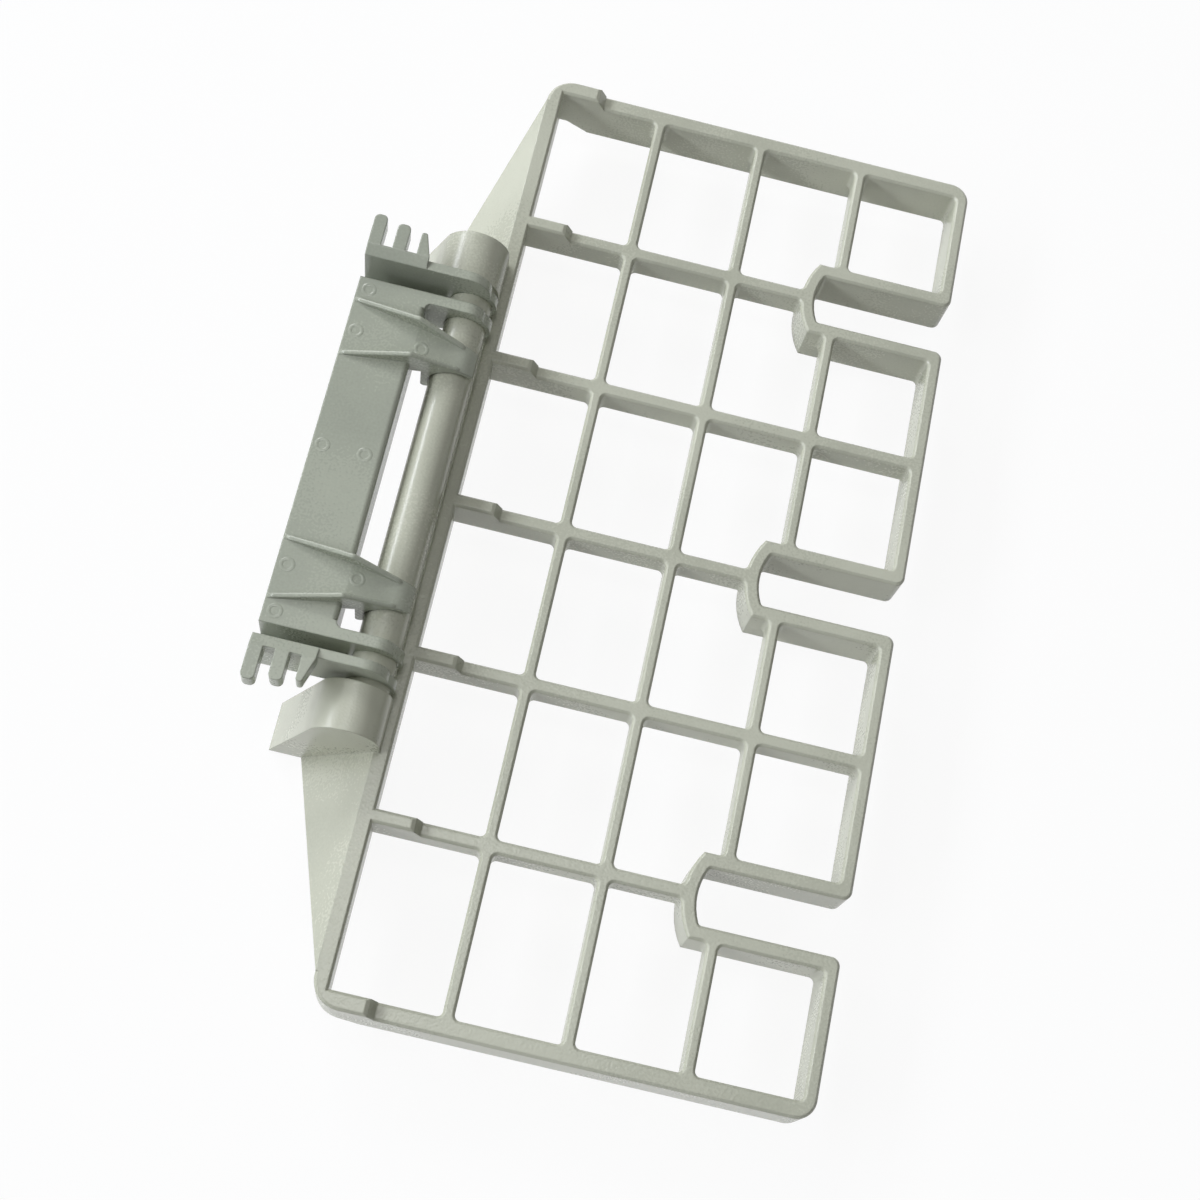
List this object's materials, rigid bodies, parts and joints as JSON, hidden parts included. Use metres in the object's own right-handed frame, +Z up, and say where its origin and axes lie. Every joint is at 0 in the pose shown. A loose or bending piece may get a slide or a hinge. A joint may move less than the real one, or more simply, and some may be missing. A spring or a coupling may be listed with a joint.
{
  "type": "dishwasher cup rack",
  "caption": "Fold-up cup shelf for a dishwasher basket: open moulded grid with stem slots, hinged on a clip-on bracket with combs that grip the basket wires.",
  "frame": {"origin": "middle of the bottom of the whole part, with the shelf level", "axes": "+X from the hinge side to the open side of the shelf, +Y along the hinge shaft, +Z up"},
  "size_m": [0.1506, 0.2544, 0.0395],
  "materials": {
    "shelf_plastic": "moulded, satin",
    "bracket_plastic": "moulded, satin"
  },
  "bodies": {
    "bracket": {"hinge_bracket": "bracket_plastic"},
    "shelf": {"rack": "shelf_plastic"}
  },
  "joints": [
    {"name": "shelf_fold", "type": "hinge", "parent": "bracket", "child": "shelf", "pos_m": [-0.0476, 0, 0.0263], "axis": [0, -1, 0], "range_deg": [0, 90]}
  ]
}
